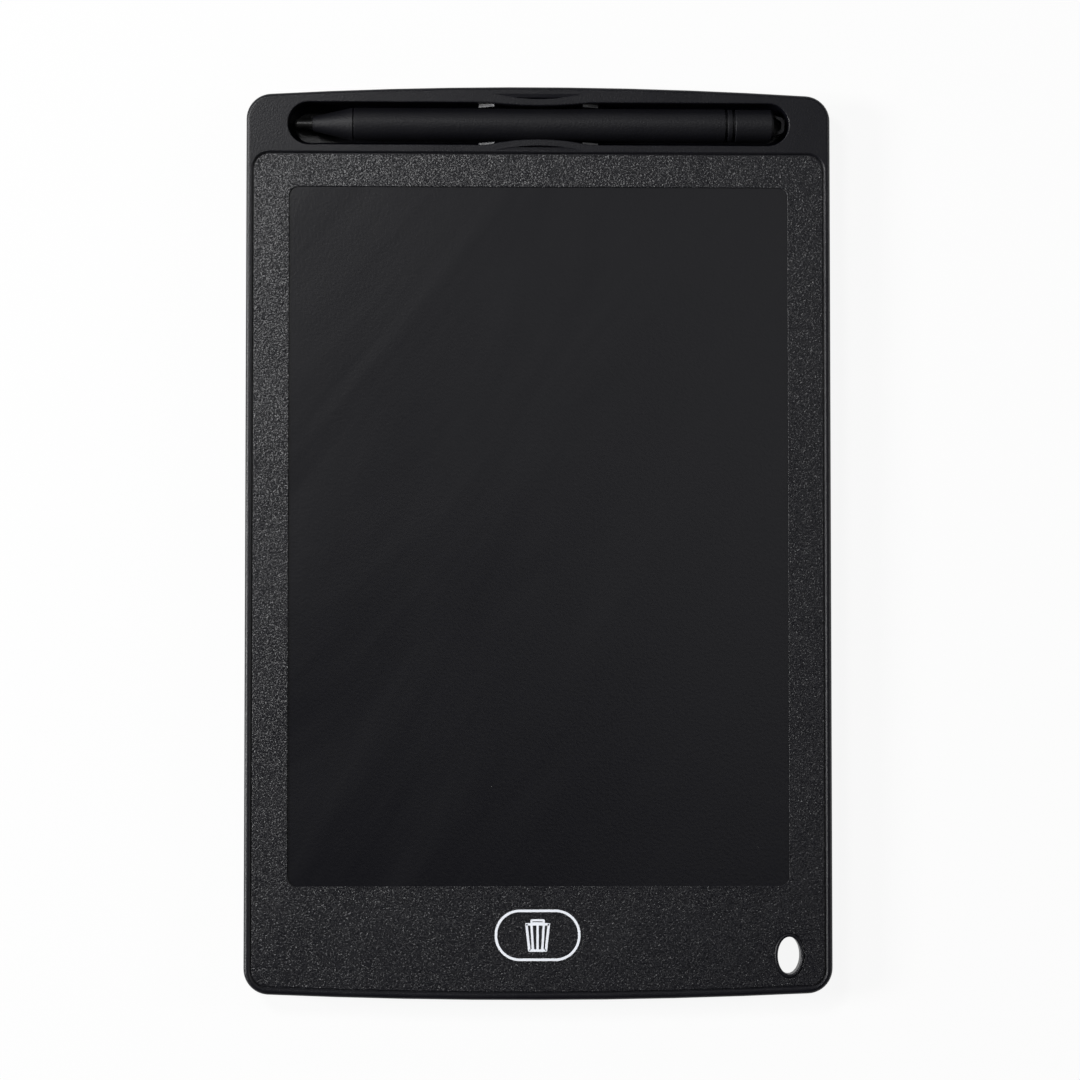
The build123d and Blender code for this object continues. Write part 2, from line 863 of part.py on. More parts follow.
with BuildPart() as switch_cover:
    extrude(block_face(switch_cover_z, 0, erase_y, switch_size, switch_size), amount=switch_cover_height)
    extrude(
        disc_face(switch_cover_z, 0, erase_y, plunger_diameter + 2 * plunger_gap),
        amount=switch_cover_height,
        mode=Mode.SUBTRACT,
    )
switch_cover.part.label = "switch_cover"

with BuildPart() as switch_plunger:
    extrude(
        disc_face(switch_cover_z - plunger_flange_height, 0, erase_y, plunger_flange_diameter),
        amount=plunger_flange_height,
    )
    extrude(
        disc_face(switch_cover_z, 0, erase_y, plunger_diameter),
        amount=plunger_top_z - switch_cover_z,
    )
switch_plunger.part.label = "switch_plunger"


# Controller chip with its two rows of pins
with BuildPart() as controller_chip:
    chip_x = board_left_x + chip_share * board_length
    chip_y = erase_y + chip_shift_y
    extrude(
        block_face(board_top_z + chip_pin_height / 2, chip_x, chip_y, chip_length, chip_width),
        amount=chip_height - chip_pin_height / 2,
    )
    with BuildSketch(Plane.XY.offset(board_top_z)):
        with Locations((chip_x, chip_y)):
            with GridLocations(chip_pitch, 0, chip_pins, 1):
                Rectangle(chip_pin_width, chip_width + 2 * chip_pin_reach)
    extrude(amount=chip_pin_height)
controller_chip.part.label = "controller_chip"

# Coil that raises the cell's voltage: a core with a wound waist
with BuildPart() as boost_coil:
    coil_x = board_left_x + coil_share * board_length
    coil_y = erase_y + coil_shift_y
    with BuildSketch(Plane.XY.offset(board_top_z)):
        with Locations((coil_x, coil_y)):
            RectangleRounded(coil_size, coil_size, coil_corner)
    extrude(amount=coil_height)
    with BuildSketch(Plane.XY.offset(board_top_z + coil_height / 3)):
        with Locations((coil_x, coil_y)):
            Rectangle(coil_size, coil_size)
            Circle(coil_size / 2 - coil_groove, mode=Mode.SUBTRACT)
    extrude(amount=coil_height / 3, mode=Mode.SUBTRACT)
boost_coil.part.label = "boost_coil"

with BuildPart() as capacitors:
    with BuildSketch(Plane.XY.offset(board_top_z)):
        with Locations((board_left_x + capacitor_share * board_length, erase_y + capacitor_shift_y)):
            with GridLocations(capacitor_pitch, 0, capacitor_count, 1):
                Rectangle(capacitor_width, capacitor_length)
    extrude(amount=capacitor_height)
capacitors.part.label = "capacitors"

with BuildPart() as resistors:
    with BuildSketch(Plane.XY.offset(board_top_z)):
        with Locations((board_left_x + resistor_share * board_length, erase_y + resistor_shift_y)):
            with GridLocations(resistor_pitch, 0, resistor_count, 1):
                Rectangle(resistor_width, resistor_length)
    extrude(amount=resistor_height)
resistors.part.label = "resistors"

with BuildPart() as diode:
    diode_x = board_left_x + diode_share * board_length
    diode_y = erase_y + diode_shift_y
    extrude(block_face(board_top_z, diode_x, diode_y, diode_length, diode_width), amount=diode_height)
diode.part.label = "diode"


# Screen lock: the switch body sits over a slot in the board, its lever reaches the slider
with BuildPart() as lock_switch_body:
    extrude(
        block_face(board_top_z, slot_x, lock_y, lock_body_length, lock_body_width), amount=lock_body_height
    )
    extrude(
        block_face(
            board_top_z,
            slot_x,
            lock_y,
            lock_body_length - 2 * lock_body_wall,
            lock_body_width - 2 * lock_body_wall,
        ),
        amount=lock_body_height - lock_body_wall,
        mode=Mode.SUBTRACT,
    )
lock_switch_body.part.label = "lock_switch_body"

slider_z = back_z + slider_recess
slider_foot_z = floor_z + slider_foot_gap
socket_z = slider_z + slider_cap_height
lever_z = socket_z + lever_gap
lever_top_z = board_top_z + lock_body_height - lock_body_wall - lever_top_gap
with BuildPart() as lock_lever:
    extrude(block_face(lever_z, lock_x, lock_y, lever_size, lever_size), amount=lever_top_z - lever_z)
    extrude(
        block_face(board_top_z + slider_gap, lock_x, lock_y, slider_neck_length, slider_neck_width),
        amount=lever_top_z - board_top_z - slider_gap,
    )
lock_lever.part.label = "lock_lever"

with BuildPart() as lock_slider:
    extrude(block_face(slider_z, lock_x, lock_y, slider_length, slider_width), amount=slider_cap_height)
    with BuildSketch(Plane.XY.offset(slider_z)):
        with Locations((lock_x, lock_y)):
            with GridLocations(grip_pitch, 0, grip_count, 1):
                Rectangle(grip_groove, slider_width)
    extrude(amount=grip_depth, mode=Mode.SUBTRACT)
    extrude(
        block_face(socket_z, lock_x, lock_y, slider_neck_length, slider_neck_width),
        amount=slider_foot_z - socket_z,
    )
    extrude(
        block_face(slider_foot_z, lock_x, lock_y, slider_foot_length, slider_foot_width),
        amount=slider_foot_height,
    )
    extrude(
        block_face(socket_z, lock_x, lock_y, lever_size + 2 * lever_gap, lever_size + 2 * lever_gap),
        amount=slider_foot_z + slider_foot_height - socket_z,
        mode=Mode.SUBTRACT,
    )
lock_slider.part.label = "lock_slider"


# Coin cell: can, sealing ring, cap, and the stack inside them
def cell_ring(inner, outer, low, high):
    """Half section of one ring or disc of the cell, to turn about the cell's axis."""
    with BuildSketch(Plane((cell_x, cell_y, cell_z), x_dir=(1, 0, 0), z_dir=(0, -1, 0))) as section:
        with Locations(((inner + outer) / 2, (low + high) / 2)):
            Rectangle(outer - inner, high - low)
    return section.sketch


cell_axis = Axis((cell_x, cell_y, 0), (0, 0, 1))
cell_radius = cell_diameter / 2
seal_radius = cell_radius - cell_skin
cap_radius = seal_radius - cell_seal
cap_bore = cap_radius - cell_skin
crimp_height = cell_height - cell_skin / 2

with BuildPart() as cell_can:
    revolve(cell_ring(0, cell_radius, 0, cell_skin), axis=cell_axis)
    revolve(cell_ring(seal_radius, cell_radius, 0, crimp_height), axis=cell_axis)
cell_can.part.label = "cell_can"

with BuildPart() as cell_seal_ring:
    revolve(cell_ring(cap_radius, seal_radius, cell_skin, crimp_height), axis=cell_axis)
cell_seal_ring.part.label = "cell_seal_ring"

with BuildPart() as cell_cap:
    revolve(cell_ring(0, cap_radius, cell_height - cell_skin, cell_height), axis=cell_axis)
    revolve(cell_ring(cap_bore, cap_radius, cell_skin, cell_height), axis=cell_axis)
cell_cap.part.label = "cell_cap"

with BuildPart() as cell_stack:
    revolve(cell_ring(0, cap_bore, cell_skin, cell_height - cell_skin), axis=cell_axis)
cell_stack.part.label = "cell_stack"


# Sprung contact strips, bent from sheet, soldered to the end of the board
landing_x = board_left_x + contact_landing
landing_z = board_top_z + contact_thickness / 2
blade_x = cell_x + cell_radius + contact_gap + contact_thickness / 2
blade_y = cell_y + contact_spread
leaf_y = cell_y - contact_spread
over_z = cell_top_z + contact_rise

with BuildPart() as positive_contact:
    with BuildSketch(Plane.XZ.offset(-blade_y)):
        with BuildLine() as blade_path:
            FilletPolyline(
                (blade_x, cell_z + cell_skin),
                (blade_x, cell_z + cell_height - cell_skin),
                (board_left_x - contact_landing / 2, cell_z + cell_height - cell_skin),
                (board_left_x, landing_z),
                (landing_x, landing_z),
                radius=contact_thickness,
            )
        trace(blade_path.line, line_width=contact_thickness)
    extrude(amount=contact_width / 2, both=True)
positive_contact.part.label = "positive_contact"

with BuildPart() as negative_contact:
    with BuildSketch(Plane.XZ.offset(-leaf_y)):
        with BuildLine() as leaf_path:
            FilletPolyline(
                (cell_x - leaf_overhang, over_z),
                (cell_x, cell_top_z + contact_gap + contact_thickness / 2),
                (cell_x + cell_radius, over_z),
                (board_left_x - contact_landing / 2, over_z),
                (board_left_x, landing_z),
                (landing_x, landing_z),
                radius=contact_bend,
            )
        trace(leaf_path.line, line_width=contact_thickness)
    extrude(amount=contact_width / 2, both=True)
negative_contact.part.label = "negative_contact"


# Battery door: a thin lip all round, a thicker panel over the cell, two tongues at its hinge edge
door_mid_x = (door_left_x + door_right_x) / 2
with BuildPart() as battery_door:
    with BuildSketch(Plane.XY.offset(back_z)):
        with Locations((door_mid_x, cell_y)):
            RectangleRounded(
                door_right_x - door_left_x - 2 * door_gap,
                2 * (door_half_y - door_gap),
                door_corner - door_gap,
            )
    extrude(amount=door_lip)
    extrude(
        block_face(
            back_z,
            (door_left_x + well_right_x) / 2,
            cell_y,
            well_right_x - door_left_x - 2 * door_gap,
            2 * (well_half_y - door_gap),
        ),
        amount=cover_wall,
    )
    for side in (-1, 1):
        tongue_y = cell_y + side * tongue_spread / 2
        root_x = door_left_x + tongue_root / 2 + door_gap
        extrude(
            block_face(floor_z, root_x, tongue_y, tongue_root, tongue_width),
            amount=cell_rest_gap + tongue_height,
        )
        extrude(
            block_face(
                floor_z + cell_rest_gap,
                door_left_x + door_gap + (tongue_root - tongue_reach) / 2,
                tongue_y,
                tongue_root + tongue_reach,
                tongue_width,
            ),
            amount=tongue_height,
        )
    with Locations(Location((door_screw_x, door_screw_y, back_z), (180, 0, 0))):
        CounterSinkHole(
            screw_diameter / 2 + screw_clearance, door_screw_head_diameter / 2 + screw_clearance, cover_wall
        )
    extrude(
        block_face(
            back_z, door_right_x - door_gap, cell_y, 2 * door_notch_length, door_notch_width
        ),
        amount=door_notch_depth,
        mode=Mode.SUBTRACT,
    )
battery_door.part.label = "battery_door"

with BuildPart() as door_screw:
    with BuildSketch(Plane((door_screw_x, door_screw_y, back_z), x_dir=(1, 0, 0), z_dir=(0, -1, 0))):
        with BuildLine():
            Polyline(
                (0, 0),
                (door_screw_head_diameter / 2, 0),
                (screw_diameter / 2, door_screw_head_height),
                (screw_diameter / 2, door_screw_length),
                (0, door_screw_length),
                close=True,
            )
        make_face()
    revolve(axis=Axis((door_screw_x, door_screw_y, 0), (0, 0, 1)))
    for turn in (0, 1):
        with BuildSketch(Plane.XY.offset(back_z)):
            with Locations((door_screw_x, door_screw_y)):
                Rectangle(drive_recess_length, drive_recess_width, rotation=90 * turn)
        extrude(amount=drive_recess_depth, mode=Mode.SUBTRACT)
door_screw.part.label = "door_screw"


# Stylus, turned about its own axis, midway between the clips
pen_axis = Axis((0, pen_y, pen_z), (1, 0, 0))
pen_plane = Plane((0, pen_y, pen_z), x_dir=(1, 0, 0), z_dir=(0, -1, 0))
pen_radius = pen_diameter / 2
bore_radius = pen_radius - barrel_wall
spigot_radius = bore_radius - spigot_gap
nib_tip = pen_tip_gap - tray_length / 2
nose_tip = nib_tip + nib_length
nose_back = nose_tip + nose_length
barrel_start = nose_back + nose_gap
cap_end = tray_length / 2 - pen_end_gap - eyelet_reach
cap_start = cap_end - cap_length
ring_start = cap_start - cap_gap - ring_width
barrel_end = ring_start - ring_gap
barrel_length = barrel_end - barrel_start
neck_radius = neck_diameter / 2
nib_bore = nib_shank_diameter / 2 + spigot_gap


def eyelet_face(root_x, inset):
    """Outline of the cord loop behind the cap, with a rounded tip; inset gives its opening."""
    root = eyelet_root_width / 2 - inset
    tip = eyelet_tip_width / 2 - inset
    tip_x = cap_end + eyelet_reach - inset
    with BuildSketch(Plane.XY.offset(pen_z)) as face:
        with BuildLine():
            Polyline(
                (root_x, pen_y - root),
                (tip_x, pen_y - tip),
                (tip_x, pen_y + tip),
                (root_x, pen_y + root),
                close=True,
            )
        make_face()
        fillet(face.vertices().sort_by(Axis.X)[-2:], eyelet_round - inset)
    return face.sketch


with BuildPart() as stylus_barrel:
    with BuildSketch(pen_plane):
        with Locations(((barrel_start + barrel_end) / 2, (pen_radius + bore_radius) / 2)):
            Rectangle(barrel_length, pen_radius - bore_radius)
    revolve(axis=pen_axis)
    outer_rims = stylus_barrel.edges().filter_by(GeomType.CIRCLE).filter_by(
        lambda rim: rim.radius > (pen_radius + bore_radius) / 2
    )
    chamfer(outer_rims, pen_edge_chamfer)
stylus_barrel.part.label = "stylus_barrel"

with BuildPart() as stylus_nose:
    with BuildSketch(pen_plane):
        with BuildLine():
            Polyline(
                (nose_tip, nose_tip_diameter / 2),
                (nose_back, pen_radius),
                (nose_back, neck_radius),
                (barrel_start, neck_radius),
                (barrel_start, spigot_radius),
                (barrel_start + spigot_length, spigot_radius),
                (barrel_start + spigot_length, nib_bore),
                (nose_tip, nib_bore),
                close=True,
            )
        make_face()
    revolve(axis=pen_axis)
stylus_nose.part.label = "stylus_nose"

with BuildPart() as stylus_nib:
    with BuildSketch(pen_plane):
        with BuildLine():
            Polyline(
                (nib_tip, 0),
                (nib_tip, nib_diameter / 2 - nib_shoulder),
                (nib_tip + nib_shoulder, nib_diameter / 2),
                (nose_tip, nib_diameter / 2),
                (nose_tip, nib_shank_diameter / 2),
                (nose_tip + nib_shank_length, nib_shank_diameter / 2),
                (nose_tip + nib_shank_length, 0),
                close=True,
            )
        make_face()
    revolve(axis=pen_axis)
stylus_nib.part.label = "stylus_nib"

with BuildPart() as stylus_ring:
    with BuildSketch(pen_plane):
        with Locations((ring_start + ring_width / 2, (ring_diameter / 2 + neck_radius) / 2)):
            Rectangle(ring_width, ring_diameter / 2 - neck_radius)
    revolve(axis=pen_axis)
    ring_rims = stylus_ring.edges().filter_by(GeomType.CIRCLE).filter_by(
        lambda rim: rim.radius > (ring_diameter / 2 + neck_radius) / 2
    )
    chamfer(ring_rims, pen_edge_chamfer)
stylus_ring.part.label = "stylus_ring"

with BuildPart() as stylus_cap:
    with BuildSketch(pen_plane):
        with BuildLine():
            Polyline(
                (barrel_end - spigot_length, 0),
                (barrel_end - spigot_length, spigot_radius),
                (barrel_end, spigot_radius),
                (barrel_end, neck_radius),
                (cap_start, neck_radius),
                (cap_start, cap_diameter / 2 - pen_edge_chamfer),
                (cap_start + pen_edge_chamfer, cap_diameter / 2),
                (cap_end, cap_diameter / 2),
                (cap_end, 0),
                close=True,
            )
        make_face()
    revolve(axis=pen_axis)
    cap_rim = stylus_cap.edges().filter_by(GeomType.CIRCLE).sort_by(Axis.X)[-1]
    chamfer(cap_rim, cap_edge_bevel)
    extrude(eyelet_face(cap_end - cap_edge_bevel, 0), amount=eyelet_thickness / 2, both=True)
    extrude(
        eyelet_face(cap_end, eyelet_wire), amount=eyelet_thickness / 2, both=True, mode=Mode.SUBTRACT
    )
stylus_cap.part.label = "stylus_cap"


# One file per piece
pieces = [
    front_frame,
    back_cover,
    bezel_film,
    film_adhesive,
    erase_pad,
    erase_key,
    lcd_front_film,
    lcd_rear_film,
    lcd_ribbon,
    ribbon_clamp,
    circuit_board,
    board_screws,
    switch_body,
    switch_cover,
    switch_plunger,
    controller_chip,
    boost_coil,
    capacitors,
    resistors,
    diode,
    lock_switch_body,
    lock_lever,
    lock_slider,
    cell_can,
    cell_seal_ring,
    cell_cap,
    cell_stack,
    positive_contact,
    negative_contact,
    battery_door,
    door_screw,
    stylus_barrel,
    stylus_nose,
    stylus_nib,
    stylus_ring,
    stylus_cap,
]
os.makedirs("parts", exist_ok=True)
for piece in pieces:
    export_step(piece.part, f"parts/{piece.part.label}.step")
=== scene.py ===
# %% [markdown]
# A writing tablet with a dark screen, lying face up: a thin black housing, a printed film round the
# screen, an oval erase key, a lanyard hole and a stylus clipped in a tray along the top end.
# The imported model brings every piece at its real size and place. This script adds what a camera
# sees of them: the finish of each plastic, film and metal, the white print on the erase key, the
# light, the floor and the camera.

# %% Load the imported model
import json
import math
import bpy
from mathutils import Matrix, Vector


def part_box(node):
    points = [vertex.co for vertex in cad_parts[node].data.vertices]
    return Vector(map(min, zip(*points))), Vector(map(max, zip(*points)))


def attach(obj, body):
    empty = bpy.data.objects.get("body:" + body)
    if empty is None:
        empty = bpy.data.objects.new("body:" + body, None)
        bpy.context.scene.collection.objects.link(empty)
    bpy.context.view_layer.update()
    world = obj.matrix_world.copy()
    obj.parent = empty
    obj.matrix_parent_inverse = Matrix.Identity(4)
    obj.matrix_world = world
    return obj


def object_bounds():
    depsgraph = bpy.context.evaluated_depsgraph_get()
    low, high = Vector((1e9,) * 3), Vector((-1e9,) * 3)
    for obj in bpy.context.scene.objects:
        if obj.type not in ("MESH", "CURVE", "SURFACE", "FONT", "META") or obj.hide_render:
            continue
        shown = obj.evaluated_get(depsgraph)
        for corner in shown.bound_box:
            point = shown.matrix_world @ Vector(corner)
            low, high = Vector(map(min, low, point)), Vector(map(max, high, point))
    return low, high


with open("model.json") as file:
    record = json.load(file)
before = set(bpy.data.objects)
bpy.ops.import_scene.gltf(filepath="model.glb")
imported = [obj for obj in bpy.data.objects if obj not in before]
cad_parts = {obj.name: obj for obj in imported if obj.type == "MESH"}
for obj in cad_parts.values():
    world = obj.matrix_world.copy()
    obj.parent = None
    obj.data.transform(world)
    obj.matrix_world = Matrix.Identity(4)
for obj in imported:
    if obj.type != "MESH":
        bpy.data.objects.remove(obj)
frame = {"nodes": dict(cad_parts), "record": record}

MM = 0.001
cad_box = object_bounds()
low, high = (Vector(corner) for corner in cad_box)
print("object size in mm:", [round(side / MM, 2) for side in high - low])

# %% [markdown]
# Every later step starts from a few facts about the object. They are read from the boxes of the
# pieces, so that the script holds no second copy of a size that the model already gives.

# %% Facts about the object
film_top = Vector(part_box("bezel_film")[1]).z
pad_low, pad_high = (Vector(corner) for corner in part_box("erase_pad"))
pad_centre = (pad_low + pad_high) / 2
tablet_centre = Vector((0, 0, high.z))
print("film top at", round(film_top / MM, 2), "mm")
print("erase key centre in mm:", [round(v / MM, 2) for v in pad_centre])

# %% [markdown]
# The camera stands almost straight above the tablet, a little towards its lower left, with a long
# lens, so that the sides hardly show. Its place is worked out from a distance and two small tilts,
# and it looks at a point close to the middle, which puts the tablet where the picture has it.

# %% Camera
CAMERA_DISTANCE = 0.88
TILT_DOWN = math.radians(2.6)
TILT_LEFT = math.radians(1.6)
LENS = 118.7
SENSOR = 36.0
AIM_RIGHT = 0.3 * MM
AIM_UP = 0.22 * MM


def facing(towards):
    """The turn of a camera or lamp that looks back along a direction, with +Y as its upper side."""
    across = Vector((0, 1, 0)).cross(towards).normalized()
    return Matrix((across, towards.cross(across), towards)).transposed().to_euler()


def add_camera():
    towards = Vector((-math.sin(TILT_LEFT), -math.sin(TILT_DOWN), 1)).normalized()
    data = bpy.data.cameras.new("camera")
    data.lens = LENS
    data.sensor_width = SENSOR
    camera = bpy.data.objects.new("camera", data)
    bpy.context.scene.collection.objects.link(camera)
    aim = tablet_centre + Vector((AIM_RIGHT, AIM_UP, 0))
    camera.location = aim + towards * CAMERA_DISTANCE
    camera.rotation_euler = facing(towards)
    bpy.context.scene.camera = camera
    return camera


print("camera at", [round(v, 3) for v in add_camera().location])

# %% [markdown]
# A shader graph is a set of boxes joined by wires. Small helpers keep the graphs below short: one
# places a box and fills its inputs, each with a number or with a wire from another box, and the
# others stand for the boxes that come back again and again.

# %% Helpers for shader graphs: boxes and wires
def fill(tree, node, inputs):
    """Gives each named input of a box a number, or a wire from another box."""
    for name, value in inputs.items():
        if isinstance(value, bpy.types.NodeSocket):
            tree.links.new(value, node.inputs[name])
        else:
            node.inputs[name].default_value = value
    return node


def place(tree, kind, inputs=None, **settings):
    """Adds a box, applies its settings and fills its inputs."""
    made = tree.nodes.new(kind)
    for name, value in settings.items():
        setattr(made, name, value)
    return fill(tree, made, inputs or {})


def calc(tree, operation, first, second=0.0, clamp=False):
    """One sum on two numbers or wires."""
    sides = {0: first, 1: second}
    return place(tree, "ShaderNodeMath", sides, operation=operation, use_clamp=clamp).outputs[0]


def combine(tree, operation, first, second=(0.0, 0.0, 0.0)):
    """The same for vectors, such as normals."""
    sides = {0: first, 1: second}
    return place(tree, "ShaderNodeVectorMath", sides, operation=operation).outputs[0]


def remap(tree, value, from_low, from_high, to_low, to_high):
    """Stretches a range of values on to another, and holds it at both ends."""
    return place(tree, "ShaderNodeMapRange", {
        "Value": value, "From Min": from_low, "From Max": from_high,
        "To Min": to_low, "To Max": to_high,
    }).outputs["Result"]


print("helpers for boxes and wires are ready")

# %% [markdown]
# The Mix box has a set of sockets for each kind of data, so those for colours are called by their
# numbers. Patterns use the piece's own Object coordinates, in metres, and stay on it as it moves.

# %% Helpers for shader graphs: colours and patterns
MIX_FACTOR, MIX_FIRST, MIX_SECOND, MIX_RESULT = 0, 6, 7, 2


def blend_colours(tree, factor, first, second):
    """Goes from the first colour to the second as the factor goes from 0 to 1."""
    inputs = {MIX_FACTOR: factor, MIX_FIRST: first, MIX_SECOND: second}
    return place(tree, "ShaderNodeMix", inputs, data_type="RGBA").outputs[MIX_RESULT]


def grey(level):
    return (level, level, level, 1.0)


def times(colour, share):
    """A colour made darker or lighter, with the fourth number that Blender's colours have."""
    return (*(channel * share for channel in colour), 1.0)


def own_coordinates(tree):
    return place(tree, "ShaderNodeTexCoord").outputs["Object"]


def noise(tree, vector, scale, detail, roughness=0.5, distortion=0.0):
    """The outputs of a noise: its height comes first, and its Color holds three more noises."""
    return place(tree, "ShaderNodeTexNoise", {
        "Vector": vector, "Scale": scale, "Detail": detail, "Roughness": roughness,
        "Distortion": distortion,
    }).outputs


def raised(tree, strength, depth, height, under):
    """The normal of a surface that a height pattern raises, on top of the normal under it."""
    return place(tree, "ShaderNodeBump", {
        "Strength": strength, "Distance": depth, "Height": height, "Normal": under,
    }).outputs[0]


print("helpers for colours and patterns are ready")

# %% [markdown]
# An effect that several finishes share becomes a group: a box made of boxes, with its own named
# inputs and outputs. It is built once and placed in each material with that material's values.

# %% Helpers for materials and groups
VALUE = "NodeSocketFloat"
NORMAL = "NodeSocketVector"


def new_material(name):
    """A material, its graph and the shader in it."""
    material = bpy.data.materials.new(name)
    material.use_nodes = True
    return material, material.node_tree, material.node_tree.nodes["Principled BSDF"]


def feeding(shader, name):
    """What a socket gets now, so that a further layer can be laid over it."""
    return shader.inputs[name].links[0].from_socket


def new_group(name, inputs, outputs):
    """An empty node group with named sockets, and the two boxes that stand for its inside ends."""
    group = bpy.data.node_groups.new(name, "ShaderNodeTree")
    for label, value in inputs.items():
        socket = group.interface.new_socket(name=label, in_out="INPUT", socket_type=VALUE)
        socket.default_value = value
    for label, kind in outputs.items():
        group.interface.new_socket(name=label, in_out="OUTPUT", socket_type=kind)
    return group, group.nodes.new("NodeGroupInput"), group.nodes.new("NodeGroupOutput")


def use_group(tree, group, inputs):
    """The outputs of a shared effect, placed with this material's own values."""
    return place(tree, "ShaderNodeGroup", inputs, node_tree=group).outputs


def per_metre(group, length_mm):
    """The scale of a pattern whose marks are that many millimetres wide."""
    return calc(group, "DIVIDE", 1.0 / MM, length_mm)


print("helpers for materials and groups are ready")

# %% [markdown]
# The floor is a plain pale sheet. For the light that falls on it, it has a pale colour of its own.
# The camera and the reflections see mostly a steady white instead, so that the background stays
# even without stronger lamps, and a small share of the sheet's own colour, which keeps the
# tablet's soft shadow.

# %% Floor
FLOOR_SIZE = 14.0
FLOOR_GAP = 0.02 * MM
FLOOR_COLOUR = 0.9
STEADY_SHARE = 0.92
STEADY_WHITE = 0.985


def floor_material():
    material, tree, _ = new_material("pale_floor")
    tree.nodes.clear()
    path = place(tree, "ShaderNodeLightPath").outputs
    seen = calc(tree, "ADD", path["Is Camera Ray"], path["Is Glossy Ray"])
    seen = calc(tree, "ADD", seen, path["Is Transmission Ray"], clamp=True)
    share = calc(tree, "MULTIPLY", seen, STEADY_SHARE)
    own = place(tree, "ShaderNodeBsdfDiffuse", {"Color": grey(FLOOR_COLOUR)}).outputs[0]
    steady = place(tree, "ShaderNodeEmission", {
        "Color": grey(STEADY_WHITE), "Strength": 1.0,
    }).outputs[0]
    mixed = place(tree, "ShaderNodeMixShader", {0: share, 1: own, 2: steady}).outputs[0]
    place(tree, "ShaderNodeOutputMaterial", {"Surface": mixed})
    return material


def add_floor():
    bpy.ops.object.select_all(action="DESELECT")
    bpy.ops.mesh.primitive_plane_add(size=FLOOR_SIZE, location=(0, 0, low.z - FLOOR_GAP))
    bpy.ops.object.transform_apply(location=True, rotation=True, scale=True)
    floor = bpy.context.object
    floor.name = "floor"
    floor.data.materials.append(floor_material())


add_floor()
print("floor at", round(low.z / MM, 2), "mm")

# %% [markdown]
# Black plastic shows almost nothing of its own colour: what the eye reads is the soft reflection of
# the studio. The room is bright low down at the walls, less so on the near side, and dim overhead,
# where the camera stands.

# %% Room
WALL_LIGHT = 1.0
CEILING_LIGHT = 0.02
WALL_FOOT = 0.02
WALL_TOP = 0.6
NEAR_SIDE_SHARE = 0.5
NEAR_SIDE_END = -0.6
FAR_SIDE_START = 0.2


def set_room():
    """A background whose strength depends on the direction, as heights and sides from -1 to 1."""
    world = bpy.data.worlds.new("room")
    world.use_nodes = True
    tree = world.node_tree
    tree.nodes.clear()
    direction = place(tree, "ShaderNodeTexCoord").outputs["Generated"]
    ways = place(tree, "ShaderNodeSeparateXYZ", {0: direction}).outputs
    by_height = remap(tree, ways["Z"], WALL_FOOT, WALL_TOP, WALL_LIGHT, CEILING_LIGHT)
    by_side = remap(tree, ways["Y"], NEAR_SIDE_END, FAR_SIDE_START, NEAR_SIDE_SHARE, 1.0)
    strength = calc(tree, "MULTIPLY", by_height, by_side)
    light = place(tree, "ShaderNodeBackground", {"Color": grey(1.0), "Strength": strength})
    place(tree, "ShaderNodeOutputWorld", {"Surface": light.outputs[0]})
    bpy.context.scene.world = world


set_room()
print("room light from", CEILING_LIGHT, "overhead to", WALL_LIGHT, "at the walls")

# %% [markdown]
# A small lamp up and to the left, about a metre away, lays a broad sheen over the top left of the
# tablet that fades towards the lower right. A low lamp from the left brightens only what faces it,
# the rims and the chamfers. A wide weak lamp high on the right keeps that half from going black,
# and a weak low one from the right lifts the sides of the rims that face it. A lamp's turn is
# counted from +X towards +Y, and its height from the table up, both in degrees.

# %% Lamps
LAMPS = {
    "key": dict(turn=136, height=57, distance=1.08, size=0.2, power=5.3),
    "side": dict(turn=178, height=30, distance=1.9, size=0.5, power=36.0),
    "fill": dict(turn=27, height=75, distance=2.1, size=0.8, power=1.4),
    "edge": dict(turn=8, height=25, distance=1.9, size=0.5, power=5.0),
}


def add_lamp(name, turn, height, distance, size, power):
    """A square soft lamp, facing the tablet."""
    level = math.cos(math.radians(height))
    towards = Vector((
        level * math.cos(math.radians(turn)),
        level * math.sin(math.radians(turn)),
        math.sin(math.radians(height)),
    ))
    data = bpy.data.lights.new(name, "AREA")
    data.size = size
    data.energy = power
    lamp = bpy.data.objects.new(name, data)
    bpy.context.scene.collection.objects.link(lamp)
    lamp.location = tablet_centre + towards * distance
    lamp.rotation_euler = facing(towards)


for name, facts in LAMPS.items():
    add_lamp(name, **facts)
print("lamps:", list(LAMPS))

# %% [markdown]
# Grain is the first shared effect. A mould is spark-eroded or etched before it is used, and the
# plastic takes on its fine pits. Noise on the piece's own coordinates gives a height for the bump
# and a mask of its low parts, where painted shade darkens the pits, and a much wider noise gives
# the slow patches where handling has polished the surface.

# %% Shared effect: moulded grain
PATCH_TO_GRAIN = 45.0
SHADED_PIT_BOTTOM = 0.30
SHADED_PIT_RIM = 0.50


def moulded_grain():
    group, given, result = new_group(
        "moulded grain",
        {"Grain mm": 0.3, "Softness": 0.5},
        {"Height": VALUE, "Painted pit shade": VALUE, "Patches": VALUE},
    )
    own = own_coordinates(group)
    scale = per_metre(group, given.outputs["Grain mm"])
    fine = noise(group, own, scale, detail=2.0, roughness=given.outputs["Softness"])[0]
    broad_scale = calc(group, "DIVIDE", scale, PATCH_TO_GRAIN)
    broad = noise(group, own, broad_scale, detail=3.0, roughness=0.6, distortion=0.4)[0]
    # Painted shade: the low parts of the grain give a mask that darkens the pits.
    shaded_pits = remap(group, fine, SHADED_PIT_BOTTOM, SHADED_PIT_RIM, 1.0, 0.0)
    fill(group, result, {"Height": fine, "Painted pit shade": shaded_pits, "Patches": broad})
    return group


GRAIN = moulded_grain()
print("shared effect:", GRAIN.name)

# %% [markdown]
# Edges are the second effect. No moulded or punched edge is truly sharp, and it catches a thin
# line of light. The Bevel node gives the normal of a slightly rounded edge. Where that normal
# leaves the flat one, so that their dot product falls below 1, the group also puts out a mask for
# wear, broken up by noise.

